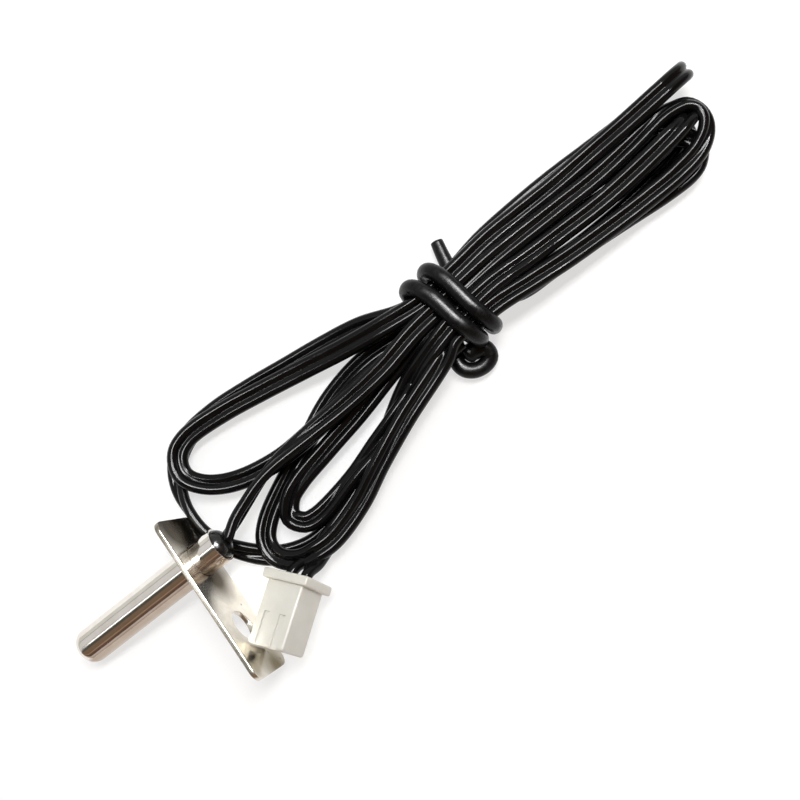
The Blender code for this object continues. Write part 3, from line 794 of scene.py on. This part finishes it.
def ranged(tree, value, low, high):
    """A number as its share of the way from low to high, kept between 0 and 1."""
    limits = {"From Min": low, "From Max": high}
    return add_node(tree, "ShaderNodeMapRange", limits, {"Value": value}).outputs["Result"]


def patches(tree, place, size, low, high):
    """Two close colours in patches of that many millimetres."""
    return blend(tree, noise(tree, place, size), linear(low), linear(high))


def tinted(tree, colour, tint):
    """One colour pattern darkened by another."""
    made = add_node(tree, "ShaderNodeMix", data_type="RGBA", blend_type="MULTIPLY")
    made.inputs["Factor"].default_value = 1.0
    tree.links.new(colour, made.inputs["A"])
    tree.links.new(tint, made.inputs["B"])
    return made.outputs["Result"]


def bump(tree, shader, height, distance, strength=1.0):
    values = {"Strength": strength, "Distance": distance * MM}
    made = add_node(tree, "ShaderNodeBump", values, {"Height": height})
    tree.links.new(made.outputs["Normal"], shader.inputs["Normal"])


def polished_nickel():
    look, tree, shader, place = new_look("polished nickel plate", {"Metallic": 1.0})
    plate = patches(tree, place, 3.0, "#e3ddd6", "#efebe6")
    # Painted reflection: the sheath's side towards -Y, below 3.5 mm in Y, is tinted brown-grey, fading out
    # by 3.9 mm
    side = add_node(tree, "ShaderNodeSeparateXYZ", links={"Vector": place}).outputs["Y"]
    depth = ranged(tree, side, 3.5 * MM, 3.9 * MM)
    painted_reflection = blend(tree, depth, linear("#c4b7ab"), linear("#ffffff"), 0.0, 1.0)
    tree.links.new(tinted(tree, plate, painted_reflection), shader.inputs["Base Color"])
    tree.links.new(blend(tree, noise(tree, place, 0.6, 5.0), 0.05, 0.13), shader.inputs["Roughness"])
    bump(tree, shader, noise(tree, place, 1.2, 2.0), 0.004)
    return look


def bright_nickel():
    look, tree, shader, place = new_look("bright nickel plate on stamped steel", {"Metallic": 1.0})
    stain = noise(tree, place, 2.2, 6.0)
    grain = noise(tree, place, 0.12, 4.0)
    pits = add_node(tree, "ShaderNodeTexVoronoi", {"Scale": 1 / (1.6 * MM)}, {"Vector": place})
    distance = pits.outputs["Distance"]
    pit = ranged(tree, distance, 0.0, 0.13)
    plate = blend(tree, stain, linear("#cfc9bd"), linear("#e2ddd3"), 0.3, 0.7)
    speck = blend(tree, distance, linear("#6b6253"), linear("#ffffff"), 0.05, 0.12)
    plate = tinted(tree, plate, speck)
    # Painted reflections and shade: the plate is darkened round each listed spot
    for middle, near, far, colour in PAINTED_REFLECTIONS_AND_SHADE:
        reach = add_node(tree, "ShaderNodeVectorMath", {1: middle * MM}, {0: place}, operation="DISTANCE")
        ring = ranged(tree, reach.outputs["Value"], near * MM, far * MM)
        plate = tinted(tree, plate, blend(tree, ring, linear(colour), linear("#ffffff"), 0.0, 1.0))
    tree.links.new(plate, shader.inputs["Base Color"])
    tree.links.new(blend(tree, grain, 0.14, 0.27), shader.inputs["Roughness"])
    height = add_node(tree, "ShaderNodeMath", links={0: pit, 1: grain}, operation="MULTIPLY")
    bump(tree, shader, height.outputs["Value"], 0.012, 0.6)
    return look


def black_epoxy():
    look, tree, shader, place = new_look("glossy black epoxy", {"Base Color": linear("#141414")})
    tree.links.new(blend(tree, noise(tree, place, 0.8), 0.12, 0.26), shader.inputs["Roughness"])
    bump(tree, shader, noise(tree, place, 1.0, 2.0), 0.08)
    return look


def black_vinyl():
    look, tree, shader, place = new_look("glossy black vinyl", {"IOR": 1.54, "Specular IOR Level": 0.15})
    tree.links.new(patches(tree, place, 4.0, "#0b0b0c", "#111112"), shader.inputs["Base Color"])
    tree.links.new(blend(tree, noise(tree, place, 1.5, 4.0), 0.09, 0.13), shader.inputs["Roughness"])
    bump(tree, shader, noise(tree, place, 2.0, 2.0), 0.003)
    return look


def tie_coating():
    look, tree, shader, place = new_look("satin black wire coating", {"Specular IOR Level": 0.15})
    tree.links.new(patches(tree, place, 2.0, "#0c0c0d", "#121213"), shader.inputs["Base Color"])
    tree.links.new(blend(tree, noise(tree, place, 0.6, 4.0), 0.24, 0.36), shader.inputs["Roughness"])
    bump(tree, shader, noise(tree, place, 0.5, 4.0), 0.02)
    return look


def ivory_nylon():
    look, tree, shader, place = new_look("ivory nylon", {
        "Subsurface Weight": 0.25, "Subsurface Radius": (1.0, 0.9, 0.7), "Subsurface Scale": 0.6 * MM,
        "Specular IOR Level": 0.28})
    tree.links.new(patches(tree, place, 3.0, "#d8d7d0", "#deddd6"), shader.inputs["Base Color"])
    tree.links.new(blend(tree, noise(tree, place, 0.4, 4.0), 0.38, 0.5), shader.inputs["Roughness"])
    bump(tree, shader, noise(tree, place, 0.15, 3.0), 0.004)
    return look


def plain_look(name, low, high, size, rough, metallic=0.0):
    """A small inner piece's finish: two close colours in patches of that size, and a fine bump."""
    look, tree, shader, place = new_look(name, {"Metallic": metallic})
    tree.links.new(patches(tree, place, size, low, high), shader.inputs["Base Color"])
    smear = noise(tree, place, size / 3, 4.0)
    tree.links.new(blend(tree, smear, rough, rough + 0.12), shader.inputs["Roughness"])
    bump(tree, shader, noise(tree, place, size / 4, 3.0), 0.005)
    return look


# Stage

def camera():
    data = bpy.data.cameras.new("camera")
    data.lens = LENS
    data.sensor_width = SENSOR_WIDTH
    data.clip_start = 0.005
    data.clip_end = 10
    data.dof.use_dof = False
    obj = bpy.data.objects.new("camera", data)
    turn = Matrix((CAMERA_RIGHT, CAMERA_UP, CAMERA_BACK)).transposed().to_4x4()
    obj.matrix_world = Matrix.Translation(CAMERA_PLACE * MM) @ turn
    bpy.context.scene.collection.objects.link(obj)
    bpy.context.scene.camera = obj


def light(name, x, length, width, power, shines):
    """A soft rectangular light overhead, aimed at the x axis. It may show only in reflections."""
    data = bpy.data.lights.new(name, "AREA")
    data.shape = "RECTANGLE"
    data.size = length * MM
    data.size_y = width * MM
    data.energy = power
    obj = bpy.data.objects.new(name, data)
    obj.visible_diffuse = shines
    back = Vector((0, LIGHT_Y, LIGHT_Z)).normalized()
    turn = back.to_track_quat("Z", "Y").to_matrix().to_4x4()
    obj.matrix_world = Matrix.Translation(Vector((x, LIGHT_Y, LIGHT_Z)) * MM) @ turn
    bpy.context.scene.collection.objects.link(obj)


def floor():
    look, tree, shader, place = new_look("white studio floor", {"Roughness": 0.9})
    tree.links.new(patches(tree, place, 40.0, "#a0a0a0", "#a2a2a2"), shader.inputs["Base Color"])
    shader.inputs["Emission Color"].default_value = (1, 1, 1, 1)
    shader.inputs["Emission Strength"].default_value = FLOOR_GLOW
    shape = bmesh.new()
    bmesh.ops.create_grid(shape, x_segments=1, y_segments=1, size=FLOOR_HALF_SIZE)
    finish_mesh("floor", shape, look, Matrix.Translation((0, 0, -FLOOR_DROP)))


def world():
    """A room that changes across the sheath, pale on one side of overhead, brown and dark on the other."""
    made = bpy.data.worlds.new("studio")
    made.use_nodes = True
    bpy.context.scene.world = made
    tree = made.node_tree
    place = add_node(tree, "ShaderNodeTexCoord").outputs["Generated"]
    parts = add_node(tree, "ShaderNodeSeparateXYZ", links={"Vector": place}).outputs
    sides = {0: parts["Y"], 1: parts["Z"]}
    lean = add_node(tree, "ShaderNodeMath", links=sides, operation="ARCTAN2").outputs["Value"]
    ramp = add_node(tree, "ShaderNodeValToRGB", links={"Fac": ranged(tree, lean, -math.pi / 2, math.pi / 2)})
    bands = ramp.color_ramp.elements
    while len(bands) < len(ROOM):
        bands.new(0.5)
    for band, (degrees, colour) in zip(bands, ROOM):
        band.position = (degrees + 90) / 180
        band.color = linear(colour)
    tree.links.new(ramp.outputs["Color"], tree.nodes["Background"].inputs["Color"])
    tree.nodes["Background"].inputs["Strength"].default_value = 1.0


def main():
    scene = bpy.context.scene
    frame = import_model()
    camera()

    vinyl = black_vinyl()
    nickel = polished_nickel()
    tin = plain_look("tin plate", "#b9b6b0", "#cbc8c2", 0.8, 0.25, 1.0)
    wires = [core_wire("core_wire_a", FIRST_CORE_ROUTE, -1, vinyl),
             core_wire("core_wire_b", SECOND_CORE_ROUTE, 1, vinyl)]
    cable, line = flat_cable(vinyl)
    tie_wire = tie(tie_coating())
    body = housing(ivory_nylon())
    pieces = [
        (cable, "cable", ("cable_lead", "cable_low_turn", "cable_hank")),
        (wires[0], "cable", ("core_tail_a",)),
        (wires[1], "cable", ("core_tail_b",)),
        (tie_wire, "tie", ("hank_tie",)),
        (body, "housing", ("connector_housing",)),
        (sheath(nickel), "sheath", ("probe_tube",)),
        (bracket(bright_nickel()), "bracket", ("mounting_bracket",)),
        (epoxy_seal(black_epoxy()), "seal", ("mouth_seal",)),
    ]
    for piece, slot, nodes in pieces:
        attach(piece, "root")
        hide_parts(*nodes)

    looks = {
        "tip_resin": plain_look("grey heat resin", "#7f7f82", "#8b8b8e", 0.6, 0.5),
        "thermistor_bead": plain_look("glass coated bead", "#2a2d33", "#353941", 0.5, 0.1),
        "bead_lead": tin,
        "solder_joint": tin,
        "contact": tin,
        "conductor_end": plain_look("bare copper strand", "#c07a54", "#d08c66", 0.3, 0.3, 1.0),
        "lead_sleeve": plain_look("amber sleeve", "#8a5a1c", "#9c6a28", 0.5, 0.35),
        "core_end": vinyl,
    }
    for name, obj in frame["nodes"].items():
        look = looks.get(name) or looks.get(name[:-2])
        if look:
            obj.data.materials.clear()
            obj.data.materials.append(look)

    floor()
    world()
    for name, settings in LIGHTS.items():
        light(name, *settings)

    scene.view_settings.view_transform = "Standard"


main()
